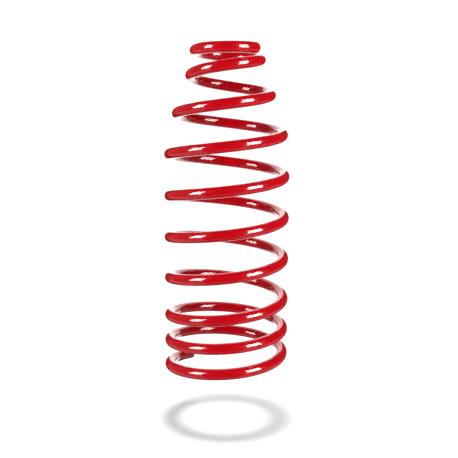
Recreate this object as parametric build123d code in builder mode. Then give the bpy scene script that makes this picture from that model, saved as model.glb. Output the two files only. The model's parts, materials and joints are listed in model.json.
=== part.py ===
from build123d import *
import os
from math import atan, ceil, cos, pi, radians, sin, sqrt

# Coil spring for a car suspension: one round steel wire, wound right-handed, with an open
# tail at the bottom, wide working coils and a small closed pigtail at the top.
# The wire is parted into turns, because each turn comes down on the one below it as the
# spring is squeezed. Two turns meet on an upright plane through the axis, so that one
# slides down past the other. Millimetres, +Z up; the coils are wound about the Z axis, and
# the lowest point of the wire is at the origin's height.

# ---- Wire ---------------------------------------------------------------------------
wire_diameter = 12.0
tip_chamfer = 2.0             # edge of each cut end of the wire

# ---- Coil diameters, from the middle of the wire across to the middle of the wire ------
body_mean_diameter = 125.0
pigtail_mean_diameter = 70.0

# ---- Turns ---------------------------------------------------------------------------
total_turns = 9.56            # from the lower tip to the upper tip
lower_tip_angle = 129.6       # where the lower tip is, in degrees counter-clockwise from +X
lower_end_turns = 1.0         # turns in the lower end coil
upper_end_turns = 1.56        # turns in the upper end coil: the tip and the coil under it

# ---- Pitch: the rise of the wire in one turn ---------------------------------------------
end_pitch = 27.8              # close-wound coils at the bottom
body_pitch = 45.4             # working coils
pigtail_pitch = 38.6          # where the pigtail starts to close up
tip_clearance = 1.5           # gap between the upper tip and the coil under it

# ---- Where the pitch and the diameter change, in turns ------------------------------------
end_pitch_until = 1.8         # from the lower tip
body_pitch_from = 2.75        # from the lower tip
body_pitch_until = 3.26       # from the upper tip
level_turns = 0.06            # last stretch of the wire, which lies level
taper_from = 3.46             # from the upper tip
taper_until = 0.66            # from the upper tip

sections_per_turn = 24        # wire sections that a turn is lofted through

os.makedirs("parts", exist_ok=True)

# ---- Centreline of the wire ----------------------------------------------------------
wire_radius = wire_diameter / 2
end_slope = atan(end_pitch / (pi * body_mean_diameter))
lower_tip_height = wire_radius * cos(end_slope) - tip_chamfer * sin(end_slope)

# The last turn rises by one wire and the clearance, while its pitch falls evenly to level.
closing_rate = 2 * (wire_diameter + tip_clearance) / (1 - level_turns) ** 2
level_from = total_turns - level_turns
closing_from = level_from - pigtail_pitch / closing_rate
pitch_stations = [
    (0.0, end_pitch),
    (end_pitch_until, end_pitch),
    (body_pitch_from, body_pitch),
    (total_turns - body_pitch_until, body_pitch),
    (closing_from, pigtail_pitch),
    (level_from, 0.0),
    (total_turns, 0.0),
]


def height_at(turn):
    """Height of the wire's centre: the pitch, added up from the lower tip."""
    height = lower_tip_height
    for (start, first), (end, last) in zip(pitch_stations, pitch_stations[1:]):
        reached = min(max(turn, start), end) - start
        steepening = (last - first) / (end - start)
        height += first * reached + steepening * reached ** 2 / 2
    return height


def radius_at(turn):
    """Distance of the wire's centre from the axis, eased from the body to the pigtail."""
    start = total_turns - taper_from
    end = total_turns - taper_until
    share = min(max((turn - start) / (end - start), 0.0), 1.0)
    eased = (1 - cos(pi * share)) / 2
    return (body_mean_diameter + (pigtail_mean_diameter - body_mean_diameter) * eased) / 2


def outward_at(turn):
    angle = radians(lower_tip_angle + 360 * turn)
    return Vector(cos(angle), sin(angle), 0)


def centre_at(turn):
    return outward_at(turn) * radius_at(turn) + Vector(0, 0, height_at(turn))


def direction_at(turn):
    """Which way the wire runs there, measured over a short stretch that stays on the wire."""
    step = 0.0001
    before = max(turn - step, 0)
    after = min(turn + step, total_turns)
    return (centre_at(after) - centre_at(before)).normalized()


# ---- Sections of the wire ---------------------------------------------------------------
def square_section(turn):
    """The wire cut square to its length."""
    plane = Plane(origin=centre_at(turn), x_dir=outward_at(turn), z_dir=direction_at(turn))
    with BuildSketch(plane) as section:
        Circle(wire_radius)
    return section.sketch.face()


def upright_section(turn):
    """The wire cut by the upright plane through the axis, where two turns meet."""
    across = outward_at(turn)
    plane = Plane(origin=centre_at(turn), x_dir=across, z_dir=Vector(0, 0, 1).cross(across))
    direction = direction_at(turn)
    half_width = wire_radius / sqrt(1 - direction.dot(plane.x_dir) ** 2)
    half_height = wire_radius / sqrt(1 - direction.dot(plane.y_dir) ** 2)
    with BuildSketch(plane) as section:
        Ellipse(half_width, half_height)
    return section.sketch.face()


# ---- Turns of the wire -------------------------------------------------------------------
def make_coil(name, start, end):
    """One stretch of the wire, lofted along the centreline and written to its file."""
    count = ceil((end - start) * sections_per_turn)
    turns = [start + (end - start) * index / count for index in range(count + 1)]
    sections = [square_section(turn) for turn in turns]
    if start > 0:
        sections[0] = upright_section(start)
    if end < total_turns:
        sections[-1] = upright_section(end)

    with BuildPart() as coil:
        loft(sections=sections)
        for tip in (0, total_turns):
            if start <= tip <= end:
                cut_end = coil.faces().sort_by_distance(centre_at(tip))[0]
                chamfer(cut_end.edges(), tip_chamfer)
    coil.part.label = name
    export_step(coil.part, f"parts/{name}.step")


make_coil("lower_end_coil", 0, lower_end_turns)

upper_end_from = total_turns - upper_end_turns
middle_turns = upper_end_from - lower_end_turns
middle_count = round(middle_turns)
for number in range(middle_count):
    coil_start = lower_end_turns + middle_turns * number / middle_count
    coil_end = lower_end_turns + middle_turns * (number + 1) / middle_count
    make_coil(f"coil_{number + 2}", coil_start, coil_end)

make_coil("upper_end_coil", upper_end_from, total_turns)
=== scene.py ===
import json
from math import atan, cos, pi, radians, sin, tan

import bpy
import numpy as np
from mathutils import Euler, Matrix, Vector


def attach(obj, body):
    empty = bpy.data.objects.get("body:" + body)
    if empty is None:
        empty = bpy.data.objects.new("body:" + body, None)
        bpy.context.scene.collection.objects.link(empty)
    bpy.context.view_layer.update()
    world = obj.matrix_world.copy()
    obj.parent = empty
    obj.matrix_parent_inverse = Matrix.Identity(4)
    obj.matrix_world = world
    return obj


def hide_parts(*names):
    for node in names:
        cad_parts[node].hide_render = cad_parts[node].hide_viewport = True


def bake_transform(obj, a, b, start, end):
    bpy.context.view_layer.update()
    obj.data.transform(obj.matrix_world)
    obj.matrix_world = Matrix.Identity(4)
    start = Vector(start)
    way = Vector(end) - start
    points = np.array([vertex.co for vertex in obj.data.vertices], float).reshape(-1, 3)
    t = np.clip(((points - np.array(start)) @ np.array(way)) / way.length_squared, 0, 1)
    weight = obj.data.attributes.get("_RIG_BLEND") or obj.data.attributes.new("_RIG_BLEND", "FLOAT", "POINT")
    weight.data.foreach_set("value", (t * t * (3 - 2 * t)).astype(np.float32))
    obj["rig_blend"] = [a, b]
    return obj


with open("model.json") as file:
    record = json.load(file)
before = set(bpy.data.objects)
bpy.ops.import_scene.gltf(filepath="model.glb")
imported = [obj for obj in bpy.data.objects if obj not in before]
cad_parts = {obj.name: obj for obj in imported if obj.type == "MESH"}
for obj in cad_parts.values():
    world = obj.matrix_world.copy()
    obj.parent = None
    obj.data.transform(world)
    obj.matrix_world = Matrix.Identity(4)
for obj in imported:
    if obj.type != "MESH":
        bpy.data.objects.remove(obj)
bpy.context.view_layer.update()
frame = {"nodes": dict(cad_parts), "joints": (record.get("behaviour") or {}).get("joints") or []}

# Coil spring of one coated steel wire. The wire is wound from straight bars, one for each
# node of the frame: a bar is cut to length, its free end is chamfered and rounded, and it is
# bent along the centreline. Metres, +Z up the axis of the coils, the front towards -Y.

# ---- Wire and coils: the frame's own sizes -------------------------------------------------
WIRE_RADIUS = 0.006
BODY_RADIUS = 0.0625
PIGTAIL_RADIUS = 0.035
TIP_CHAMFER = 0.002
TIP_CLEARANCE = 0.0015

TOTAL_TURNS = 9.56
LOWER_TIP_ANGLE = radians(129.6)
LOWER_END_TURNS = 1.0
UPPER_END_TURNS = 1.56

END_PITCH = 0.0278
BODY_PITCH = 0.0454
PIGTAIL_PITCH = 0.0386
END_PITCH_UNTIL = 1.8
BODY_PITCH_FROM = 2.75
BODY_PITCH_UNTIL = TOTAL_TURNS - 3.26
LEVEL_FROM = TOTAL_TURNS - 0.06
TAPER_FROM = TOTAL_TURNS - 3.46
TAPER_UNTIL = TOTAL_TURNS - 0.66
SETTLED_FROM = TOTAL_TURNS - 0.96  # the last turn lies flat in its seat and comes down whole

END_SLOPE = atan(END_PITCH / (2 * pi * BODY_RADIUS))
LOWER_TIP_HEIGHT = WIRE_RADIUS * cos(END_SLOPE) - TIP_CHAMFER * sin(END_SLOPE)
LAST_TURN_RISE = 2 * WIRE_RADIUS + TIP_CLEARANCE
CLOSING_RATE = 2 * LAST_TURN_RISE / (1 - TOTAL_TURNS + LEVEL_FROM) ** 2
CLOSING_FROM = LEVEL_FROM - PIGTAIL_PITCH / CLOSING_RATE

PITCH_STATIONS = [
    (0.0, END_PITCH),
    (END_PITCH_UNTIL, END_PITCH),
    (BODY_PITCH_FROM, BODY_PITCH),
    (BODY_PITCH_UNTIL, BODY_PITCH),
    (CLOSING_FROM, PIGTAIL_PITCH),
    (LEVEL_FROM, 0.0),
    (TOTAL_TURNS, 0.0),
]

# ---- How finely the wire is modelled ------------------------------------------------------
SIDES = 48                  # faces round the wire
COARSE_PER_TURN = 8         # rings along one turn of a bar after the first subdivision
RINGS_PER_TURN = 192        # rings along one turn of a bar after the second
PATH_POINTS_PER_TURN = 360  # points of the path that the bars are bent along
EDGE_ROUNDING = 0.0007      # the coat runs a little round over the edges of a tip
EDGE_SEGMENTS = 3
SHARP_FROM = radians(50)    # edges that turn by less are shaded smooth
SAME_PLACE = 1e-6           # points closer than this, in metres, are level with each other
SAME_TURN = 1e-4
NO_RATE = 1e-9              # keeps a level stretch from dividing by zero


# ---- Centreline ---------------------------------------------------------------------------
def height_at(turn):
    """Height of the wire's centre: the pitch, added up from the lower tip."""
    height = LOWER_TIP_HEIGHT
    for (start, first), (end, last) in zip(PITCH_STATIONS, PITCH_STATIONS[1:]):
        reached = min(max(turn, start), end) - start
        steepening = (last - first) / (end - start)
        height += first * reached + steepening * reached ** 2 / 2
    return height


def radius_at(turn):
    """Distance of the wire's centre from the axis, eased from the body to the pigtail."""
    share = min(max((turn - TAPER_FROM) / (TAPER_UNTIL - TAPER_FROM), 0.0), 1.0)
    eased = (1 - cos(pi * share)) / 2
    return BODY_RADIUS + (PIGTAIL_RADIUS - BODY_RADIUS) * eased


def centre_at(turn):
    angle = LOWER_TIP_ANGLE + 2 * pi * turn
    radius = radius_at(turn)
    return Vector((radius * cos(angle), radius * sin(angle), height_at(turn)))


PATH_COUNT = round(TOTAL_TURNS * PATH_POINTS_PER_TURN)
PATH_TURNS = [TOTAL_TURNS * index / PATH_COUNT for index in range(PATH_COUNT + 1)]
PATH_POINTS = [centre_at(turn) for turn in PATH_TURNS]
PATH_STEPS = [(b - a).length for a, b in zip(PATH_POINTS, PATH_POINTS[1:])]
PATH_LENGTHS = np.concatenate([[0.0], np.cumsum(PATH_STEPS)])


def length_at(turn):
    """Length of wire from the lower tip to there."""
    return float(np.interp(turn, PATH_TURNS, PATH_LENGTHS))


# ---- Turns and how far each one travels -----------------------------------------------------
def coil_number(name):
    """The number at the end of a middle coil's name."""
    return int(name.split("_")[1])


def turns_of_the_wire():
    """Name, start and end of each turn, from the lower tip up."""
    middle = sorted((n for n in frame["nodes"] if n.startswith("coil_")), key=coil_number)
    upper_from = TOTAL_TURNS - UPPER_END_TURNS
    step = (upper_from - LOWER_END_TURNS) / len(middle)
    turns = [("lower_end_coil", 0.0, LOWER_END_TURNS)]
    for index, name in enumerate(middle):
        start = LOWER_END_TURNS + step * index
        turns.append((name, start, start + step))
    turns.append(("upper_end_coil", upper_from, TOTAL_TURNS))
    return turns


def travel_of(body):
    """How far the body comes down at full travel."""
    return max([j["range_m"][1] for j in frame["joints"] if j["child"] == body], default=0.0)


TURNS = turns_of_the_wire()
FULL_TRAVEL = travel_of("upper_end_coil")

# Travel at the end of each turn. The wire in between eases from one to the next.
TRAVEL_KNOTS = (
    [(0.0, 0.0), (LOWER_END_TURNS, 0.0)]
    + [(end, travel_of(name)) for name, start, end in TURNS[1:-1]]
    + [(SETTLED_FROM, FULL_TRAVEL), (TOTAL_TURNS, FULL_TRAVEL)]
)


def travel_at(turns):
    """How far the wire comes down at full travel, as a smooth curve that never turns back."""
    at, down = np.array(TRAVEL_KNOTS).T
    rates = np.diff(down) / np.diff(at)
    before = np.concatenate([[0.0], rates])
    after = np.concatenate([rates, [0.0]])
    slopes = 2 * before * after / np.maximum(before + after, NO_RATE)
    span = np.clip(np.searchsorted(at, turns, side="right") - 1, 0, len(rates) - 1)
    width = at[span + 1] - at[span]
    t = (turns - at[span]) / width
    rise = down[span + 1] - down[span]
    return (
        down[span]
        + rise * t * t * (3 - 2 * t)
        + slopes[span] * width * t * (1 - t) ** 2
        - slopes[span + 1] * width * t * t * (1 - t)
    )


# ---- Edit-mode helpers ----------------------------------------------------------------------
def select_only(obj):
    bpy.ops.object.select_all(action="DESELECT")
    obj.select_set(True)
    bpy.context.view_layer.objects.active = obj


def select_edges(obj, chosen):
    """In object mode, leaves selected only the edges whose two ends pass the test."""
    mesh = obj.data
    places = np.zeros(len(mesh.vertices) * 3)
    mesh.vertices.foreach_get("co", places)
    places = places.reshape(-1, 3)
    ends = np.zeros(len(mesh.edges) * 2, int)
    mesh.edges.foreach_get("vertices", ends)
    ends = ends.reshape(-1, 2)
    picked = chosen(places[ends[:, 0]], places[ends[:, 1]])
    mesh.polygons.foreach_set("select", np.zeros(len(mesh.polygons), bool))
    mesh.edges.foreach_set("select", picked)
    held = np.zeros(len(mesh.vertices), bool)
    held[ends[picked].ravel()] = True
    mesh.vertices.foreach_set("select", held)


def edit(obj, chosen, operator, **settings):
    """Selects edges by their place and runs one edit-mode operator on them."""
    select_only(obj)
    bpy.ops.object.mode_set(mode="EDIT")
    bpy.ops.mesh.select_mode(type="EDGE")
    bpy.ops.object.mode_set(mode="OBJECT")
    select_edges(obj, chosen)
    bpy.ops.object.mode_set(mode="EDIT")
    operator(**settings)
    bpy.ops.object.mode_set(mode="OBJECT")


# ---- The wire ---------------------------------------------------------------------------------
def winding_path():
    """The centreline as a curve, with its upright side kept up."""
    curve = bpy.data.curves.new("winding_path", "CURVE")
    curve.dimensions = "3D"
    curve.twist_mode = "Z_UP"
    spline = curve.splines.new("POLY")
    spline.points.add(len(PATH_POINTS) - 1)
    for point, place in zip(spline.points, PATH_POINTS):
        point.co = (*place, 1.0)
    path = bpy.data.objects.new("winding_path", curve)
    bpy.context.scene.collection.objects.link(path)
    return path


def straight_bar(name, start, end):
    """A bar along X, as long as the wire from one turn to the other, with rings to bend at."""
    first, last = length_at(start), length_at(end)
    bpy.ops.object.select_all(action="DESELECT")
    bpy.ops.mesh.primitive_cylinder_add(
        vertices=SIDES,
        radius=WIRE_RADIUS,
        depth=last - first,
        location=((first + last) / 2, 0, 0),
        rotation=(0, pi / 2, 0),
    )
    bar = bpy.context.active_object
    bar.name = name
    bpy.ops.object.transform_apply(location=True, rotation=True, scale=True)
    if start == 0.0:
        chamfer_tip(bar, first)
    if end == TOTAL_TURNS:
        chamfer_tip(bar, last)

    def lengthwise(a, b):
        return np.abs(a[:, 0] - b[:, 0]) > 2 * TIP_CHAMFER

    coarse_cuts = round((end - start) * COARSE_PER_TURN) - 1
    fine_cuts = RINGS_PER_TURN // COARSE_PER_TURN - 1
    edit(bar, lengthwise, bpy.ops.mesh.subdivide, number_cuts=coarse_cuts)
    edit(bar, lengthwise, bpy.ops.mesh.subdivide, number_cuts=fine_cuts)
    return bar


def chamfer_tip(bar, tip_x):
    """Cuts the chamfer of a tip, then rounds the two edges that the chamfer leaves."""
    def on_the_tip(a, b):
        return (np.abs(a[:, 0] - tip_x) < SAME_PLACE) & (np.abs(b[:, 0] - tip_x) < SAME_PLACE)

    def on_the_chamfer(a, b):
        level = np.abs(a[:, 0] - b[:, 0]) < SAME_PLACE
        return level & (np.abs(a[:, 0] - tip_x) < TIP_CHAMFER + SAME_PLACE)

    edit(bar, on_the_tip, bpy.ops.mesh.bevel, offset=TIP_CHAMFER, segments=1)
    edit(bar, on_the_chamfer, bpy.ops.mesh.bevel, offset=EDGE_ROUNDING, segments=EDGE_SEGMENTS)


def add_turn_values(bar):
    """Keeps for each point of a straight bar which turn of the spring it will lie on."""
    mesh = bar.data
    places = np.zeros(len(mesh.vertices) * 3)
    mesh.vertices.foreach_get("co", places)
    turns = np.interp(places[0::3], PATH_LENGTHS, PATH_TURNS)
    values = mesh.attributes.new("turn", "FLOAT", "POINT")
    values.data.foreach_set("value", turns.astype(np.float32))


def wind(bar, path):
    """Bends a straight bar to its place along the centreline."""
    select_only(bar)
    bend = bar.modifiers.new("winding", "CURVE")
    bend.object = path
    bend.deform_axis = "POS_X"
    bpy.ops.object.modifier_apply(modifier=bend.name)
    bpy.ops.object.shade_smooth_by_angle(angle=SHARP_FROM)


def turn_values(piece):
    """The turn that each point of a piece lies on."""
    values = np.zeros(len(piece.data.vertices), np.float32)
    piece.data.attributes["turn"].data.foreach_get("value", values)
    return values.astype(float)


def match_shading_at_cuts(piece, start, end):
    """Where one turn goes on into the next, the sides are shaded straight out from the centre."""
    mesh = piece.data
    turns = turn_values(piece)
    corner_vertex = np.zeros(len(mesh.loops), int)
    mesh.loops.foreach_get("vertex_index", corner_vertex)
    normals = np.zeros(len(mesh.loops) * 3)
    mesh.corner_normals.foreach_get("vector", normals)
    normals = normals.reshape(-1, 3)
    side = np.zeros(len(mesh.loops), bool)
    for face in mesh.polygons:
        if len(face.vertices) == 4:
            side[face.loop_start:face.loop_start + 4] = True
    for cut in (start, end):
        if cut in (0.0, TOTAL_TURNS):
            continue
        centre = centre_at(cut)
        for corner in np.flatnonzero(side & (np.abs(turns[corner_vertex] - cut) < SAME_TURN)):
            outward = mesh.vertices[corner_vertex[corner]].co - centre
            normals[corner] = outward.normalized()
    mesh.normals_split_custom_set(normals.tolist())


def ride_with_travel(piece, node):
    """The first turn stays put. Along every other one, each point comes down by its share."""
    if travel_of(node) == 0.0:
        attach(piece, node)
        return
    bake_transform(piece, "lower_end_coil", node, start=(0, 0, 0), end=(0, 0, 1))
    weights = travel_at(turn_values(piece)) / travel_of(node)
    follow = piece.data.attributes["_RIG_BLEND"]
    follow.data.foreach_set("value", weights.astype(np.float32))


def make_wire(material):
    """The whole wire, one piece for each node of the frame, from the lower tip up."""
    path = winding_path()
    pieces = []
    for node, start, end in TURNS:
        piece = straight_bar(node + "_wire", start, end)
        add_turn_values(piece)
        wind(piece, path)
        match_shading_at_cuts(piece, start, end)
        piece.data.materials.clear()
        piece.data.materials.append(material)
        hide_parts(node)
        ride_with_travel(piece, node)
        pieces.append(piece)
    bpy.data.objects.remove(path)
    return pieces


# ---- Node helpers -----------------------------------------------------------------------------
def add_node(tree, kind, values=None, **settings):
    """A node with its settings, and its unlinked sockets set by name."""
    node = tree.nodes.new(kind)
    for name, value in settings.items():
        setattr(node, name, value)
    for name, value in (values or {}).items():
        node.inputs[name].default_value = value
    return node


def noise(tree, place, scale, detail):
    """A cloudy mask, with its grain in repeats per metre."""
    node = add_node(tree, "ShaderNodeTexNoise", {"Scale": scale, "Detail": detail})
    tree.links.new(place, node.inputs["Vector"])
    return node.outputs["Fac"]


def between(tree, mask, low, high):
    """A value that goes from low to high as the mask goes from 0 to 1, and stops there."""
    node = add_node(tree, "ShaderNodeMapRange", {"To Min": low, "To Max": high})
    tree.links.new(mask, node.inputs["Value"])
    return node.outputs["Result"]


# ---- Coat of the wire -----------------------------------------------------------------------
PAINT_THIN = (0.59, 0.0006, 0.006, 1)
PAINT_FULL = (0.69, 0.0012, 0.010, 1)
PAINT_SHARES = (0.1, 0.9)         # how thin and how full the paint gets
PAINT_ROUGHNESS = (0.22, 0.30)    # under the clear gloss, where it clouds

# Grain of each unevenness, in repeats per metre, and the depth of the two that stand proud.
THICKNESS_GRAIN = 38
CLOUDING_GRAIN = 9
WAVES_GRAIN = 140
WAVES_DEPTH = 0.00006
PEEL_GRAIN = 620
PEEL_DEPTH = 0.00001
RELIEF_STRENGTH = 0.2


def relief(tree, height, depth):
    """Makes a mask stand proud of the surface by the depth."""
    node = add_node(tree, "ShaderNodeBump", {"Strength": RELIEF_STRENGTH, "Distance": depth})
    tree.links.new(height, node.inputs["Height"])
    return node


def coat_surface_group():
    """The unevenness of a cured powder coat: orange peel and long, low runs of thickness."""
    group = bpy.data.node_groups.new("coat_surface", "ShaderNodeTree")
    group.interface.new_socket("Thickness", in_out="OUTPUT", socket_type="NodeSocketFloat")
    group.interface.new_socket("Clouding", in_out="OUTPUT", socket_type="NodeSocketFloat")
    group.interface.new_socket("Normal", in_out="OUTPUT", socket_type="NodeSocketVector")
    out = group.nodes.new("NodeGroupOutput")
    place = group.nodes.new("ShaderNodeTexCoord").outputs["Object"]

    waves = noise(group, place, WAVES_GRAIN, detail=1)
    low_waves = relief(group, waves, WAVES_DEPTH)
    peel = noise(group, place, PEEL_GRAIN, detail=1)
    fine_peel = relief(group, peel, PEEL_DEPTH)
    group.links.new(low_waves.outputs["Normal"], fine_peel.inputs["Normal"])

    group.links.new(noise(group, place, THICKNESS_GRAIN, detail=3), out.inputs["Thickness"])
    group.links.new(noise(group, place, CLOUDING_GRAIN, detail=2), out.inputs["Clouding"])
    group.links.new(fine_peel.outputs["Normal"], out.inputs["Normal"])
    return group


def coated_wire():
    """Red powder coat under a clear gloss."""
    material = bpy.data.materials.new("coated_wire")
    material.use_nodes = True
    tree = material.node_tree
    tree.nodes.clear()
    shader = add_node(tree, "ShaderNodeBsdfPrincipled", {
        "IOR": 1.5,
        "Specular IOR Level": 0.05,
        "Coat Weight": 1.0,
        "Coat Roughness": 0.03,
        "Coat IOR": 1.5,
    })
    out = tree.nodes.new("ShaderNodeOutputMaterial")
    tree.links.new(shader.outputs["BSDF"], out.inputs["Surface"])

    surface = add_node(tree, "ShaderNodeGroup", node_tree=coat_surface_group())
    colour = add_node(tree, "ShaderNodeMix", data_type="RGBA")
    colour.inputs["A"].default_value = PAINT_THIN
    colour.inputs["B"].default_value = PAINT_FULL
    share = between(tree, surface.outputs["Thickness"], *PAINT_SHARES)
    tree.links.new(share, colour.inputs["Factor"])
    tree.links.new(colour.outputs["Result"], shader.inputs["Base Color"])
    roughness = between(tree, surface.outputs["Clouding"], *PAINT_ROUGHNESS)
    tree.links.new(roughness, shader.inputs["Roughness"])
    tree.links.new(surface.outputs["Normal"], shader.inputs["Normal"])
    return material


# ---- Room: floor, light and camera ------------------------------------------------------------
FLOOR_LEVEL = -0.055
FLOOR_WIDTH = 1.6
FLOOR_FRONT = -0.20
FLOOR_BACK = 1.40
FLOOR_GREY = 0.3
FLOOR_ROUGHNESS = 0.8
FLOOR_GLOW = 0.26

OVERHEAD_LIGHT = 8.8
OVERHEAD_SPREAD = radians(20)
SHADING_PIECES = 2          # the lowest pieces of the wire, which shade the floor

FLAG_HALF_WIDTH = 0.05
FLAG_TOP = 0.34
FLAG_PASSES = 0.2           # share of the light that goes through

# Sheets of light round the middle of the spring: azimuth, elevation, spread and rise, in
# degrees as the spring sees them. Azimuth 0 is the camera's side, and 90 is its right.
MIDDLE_HEIGHT = 0.18
SHEET_DISTANCE = 1.5
SOFTBOX_LEFT = (-58.5, 17, 25, 38)
SOFTBOX_RIGHT = (50.5, 17, 29, 45)
CARD_BEHIND = (180, 0, 60, 114)
CARD_DISTANCE = 0.165
TABLE_LEFT = (-88, -45, 90, 52)
TABLE_RIGHT = (84, -45, 96, 54)
FILL_BEHIND = (180, 20, 90, 60)
WALL_LEFT = (-110, 18, 50, 60)

# Radiance of each sheet. A softbox has one for its highlight and one for the light it sheds.
SOFTBOX_HIGHLIGHT = 23
SOFTBOX_SHEDS = 8.4
CARD_RADIANCE = 1.7
TABLE_LEFT_RADIANCE = 0.5
TABLE_RIGHT_RADIANCE = 0.4
FILL_RADIANCE = 1.0
WALL_RADIANCE = 0.15

# The rest of the room, as the camera sees it, as the gloss mirrors it, and as it lights.
ROOM_SEEN = 1.2
ROOM_MIRRORED = 0.03
ROOM_MIRRORED_BELOW = 0.25
ROOM_SHEDS = 0.25
NEAR_BELOW = (0.0, -0.3, -0.95)    # the way down towards the camera
NEAR_BELOW_SHARES = (0.60, 0.97)   # how far a mirrored ray goes that way, from edge to middle

CAMERA_DISTANCE = 0.8783
CAMERA_HEIGHT = 0.2936
CAMERA_ASIDE = 0.0026
CAMERA_TILT = radians(8.485)
CAMERA_ROLL = radians(0.308)
CAMERA_LENS = 63.08
CAMERA_NEAR = 0.05


def pale_floor():
    material = bpy.data.materials.new("pale_floor")
    material.use_nodes = True
    shader = material.node_tree.nodes["Principled BSDF"]
    shader.inputs["Base Color"].default_value = (FLOOR_GREY, FLOOR_GREY, FLOOR_GREY, 1)
    shader.inputs["Roughness"].default_value = FLOOR_ROUGHNESS
    shader.inputs["Specular IOR Level"].default_value = 0.0
    shader.inputs["Emission Color"].default_value = (1, 1, 1, 1)
    shader.inputs["Emission Strength"].default_value = FLOOR_GLOW
    return material


def make_floor():
    """Seen by the camera alone: the sheets of light stand in for what it would throw up."""
    bpy.ops.object.select_all(action="DESELECT")
    depth = FLOOR_BACK - FLOOR_FRONT
    middle = (0, (FLOOR_BACK + FLOOR_FRONT) / 2, FLOOR_LEVEL)
    bpy.ops.mesh.primitive_plane_add(size=1, location=middle)
    floor = bpy.context.active_object
    floor.scale = (FLOOR_WIDTH, depth, 1)
    floor.name = "floor"
    floor.data.materials.append(pale_floor())
    floor.visible_diffuse = False
    floor.visible_glossy = False
    return floor


def make_flag():
    """A thin screen upright in the bore keeps part of the front light off the far side."""
    material = bpy.data.materials.new("flag_gauze")
    material.use_nodes = True
    tree = material.node_tree
    tree.nodes.clear()
    gauze = add_node(tree, "ShaderNodeBsdfTransparent")
    gauze.inputs["Color"].default_value = (FLAG_PASSES, FLAG_PASSES, FLAG_PASSES, 1)
    out = tree.nodes.new("ShaderNodeOutputMaterial")
    tree.links.new(gauze.outputs["BSDF"], out.inputs["Surface"])
    bpy.ops.object.select_all(action="DESELECT")
    bpy.ops.mesh.primitive_plane_add(size=1, location=(0, 0, FLAG_TOP / 2), rotation=(pi / 2, 0, 0))
    flag = bpy.context.active_object
    flag.name = "flag"
    flag.scale = (2 * FLAG_HALF_WIDTH, FLAG_TOP, 1)
    flag.data.materials.append(material)
    flag.visible_camera = False
    flag.visible_diffuse = False
    flag.visible_glossy = False


def lit_group(name, objects):
    """The objects that a light reaches, or that stand in its way."""
    group = bpy.data.collections.new(name)
    for obj in objects:
        group.objects.link(obj)
    return group


def sheet_of_light(name, receivers, place, radiance, distance=SHEET_DISTANCE):
    """An upright area light that faces the spring."""
    azimuth, elevation, spread, rise = place
    light = bpy.data.lights.new(name, "AREA")
    light.shape = "RECTANGLE"
    light.size = 2 * distance * tan(radians(spread / 2))
    low = distance * tan(radians(elevation - rise / 2))
    high = distance * tan(radians(elevation + rise / 2))
    light.size_y = high - low
    light.energy = radiance * pi * light.size * light.size_y
    sheet = bpy.data.objects.new(name, light)
    angle = radians(azimuth)
    level = MIDDLE_HEIGHT + (low + high) / 2
    sheet.location = (distance * sin(angle), -distance * cos(angle), level)
    sheet.rotation_euler = (pi / 2, 0, angle)
    sheet.visible_camera = False
    sheet.light_linking.receiver_collection = receivers
    bpy.context.scene.collection.objects.link(sheet)
    return sheet


def softbox(name, receivers, place):
    """Its highlight and the light that it sheds are set apart."""
    highlight = sheet_of_light(name + "_gloss", receivers, place, SOFTBOX_HIGHLIGHT)
    highlight.visible_diffuse = False
    shed = sheet_of_light(name + "_body", receivers, place, SOFTBOX_SHEDS)
    shed.visible_glossy = False


def make_lights(wire, floor):
    """Sheets of light for the wire, and a lamp overhead for the floor and the shadow on it."""
    on_wire = lit_group("lit_wire", wire)
    softbox("softbox_left", on_wire, SOFTBOX_LEFT)
    softbox("softbox_right", on_wire, SOFTBOX_RIGHT)
    card = sheet_of_light("white_card_behind", on_wire, CARD_BEHIND, CARD_RADIANCE, CARD_DISTANCE)
    card.visible_diffuse = False
    sheet_of_light("white_table_left", on_wire, TABLE_LEFT, TABLE_LEFT_RADIANCE)
    sheet_of_light("white_table_right", on_wire, TABLE_RIGHT, TABLE_RIGHT_RADIANCE)
    fill = sheet_of_light("fill_behind", on_wire, FILL_BEHIND, FILL_RADIANCE)
    fill.visible_glossy = False
    sheet_of_light("pale_wall_left", on_wire, WALL_LEFT, WALL_RADIANCE)

    overhead = bpy.data.lights.new("overhead", "SUN")
    overhead.energy = OVERHEAD_LIGHT
    overhead.angle = OVERHEAD_SPREAD
    lamp = bpy.data.objects.new("overhead", overhead)
    lamp.light_linking.receiver_collection = lit_group("lit_floor", [floor])
    shading_coils = lit_group("shading_coils", wire[:SHADING_PIECES])
    lamp.light_linking.blocker_collection = shading_coils
    bpy.context.scene.collection.objects.link(lamp)


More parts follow.
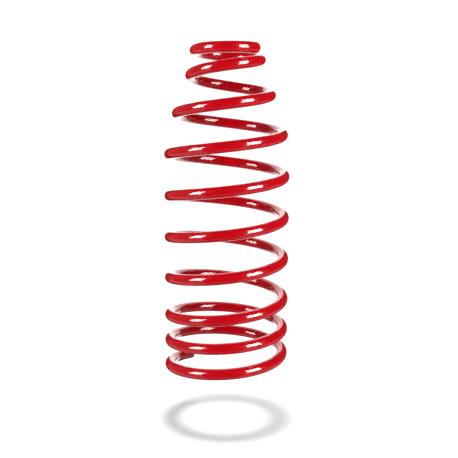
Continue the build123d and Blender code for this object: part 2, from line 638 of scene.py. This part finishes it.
def make_camera():
    """In front of the spring, a little above it and tilted down."""
    camera = bpy.data.objects.new("camera", bpy.data.cameras.new("camera"))
    camera.data.lens = CAMERA_LENS
    camera.data.clip_start = CAMERA_NEAR
    camera.location = (CAMERA_ASIDE, -CAMERA_DISTANCE, CAMERA_HEIGHT)
    turn = Euler((pi / 2 - CAMERA_TILT, 0, 0)).to_matrix()
    roll = Euler((0, 0, CAMERA_ROLL)).to_matrix()
    camera.rotation_euler = (turn @ roll).to_euler()
    bpy.context.scene.collection.objects.link(camera)
    bpy.context.scene.camera = camera


def make_room():
    """White to look at, and dim to the spring but for some light from below on the near side."""
    world = bpy.data.worlds.new("room")
    world.use_nodes = True
    bpy.context.scene.world = world
    tree = world.node_tree
    tree.nodes.clear()
    rays = tree.nodes.new("ShaderNodeLightPath")
    direction = tree.nodes.new("ShaderNodeTexCoord").outputs["Generated"]
    downward = add_node(tree, "ShaderNodeVectorMath", operation="DOT_PRODUCT")
    downward.inputs[1].default_value = NEAR_BELOW
    tree.links.new(direction, downward.inputs[0])
    mirrored = add_node(tree, "ShaderNodeMapRange", {
        "From Min": NEAR_BELOW_SHARES[0],
        "From Max": NEAR_BELOW_SHARES[1],
        "To Min": ROOM_MIRRORED,
        "To Max": ROOM_MIRRORED_BELOW,
    })
    tree.links.new(downward.outputs["Value"], mirrored.inputs["Value"])

    shed = add_node(tree, "ShaderNodeMix", {"B": ROOM_SHEDS}, data_type="FLOAT")
    tree.links.new(rays.outputs["Is Diffuse Ray"], shed.inputs["Factor"])
    tree.links.new(mirrored.outputs["Result"], shed.inputs["A"])
    seen = add_node(tree, "ShaderNodeMix", {"B": ROOM_SEEN}, data_type="FLOAT")
    tree.links.new(rays.outputs["Is Camera Ray"], seen.inputs["Factor"])
    tree.links.new(shed.outputs["Result"], seen.inputs["A"])

    background = add_node(tree, "ShaderNodeBackground", {"Color": (1, 1, 1, 1)})
    tree.links.new(seen.outputs["Result"], background.inputs["Strength"])
    out = tree.nodes.new("ShaderNodeOutputWorld")
    tree.links.new(background.outputs["Background"], out.inputs["Surface"])


# ---- Making it -------------------------------------------------------------------------------
wire = make_wire(coated_wire())
floor = make_floor()
make_flag()
make_lights(wire, floor)
make_room()
make_camera()
bpy.context.scene.view_settings.view_transform = "Standard"
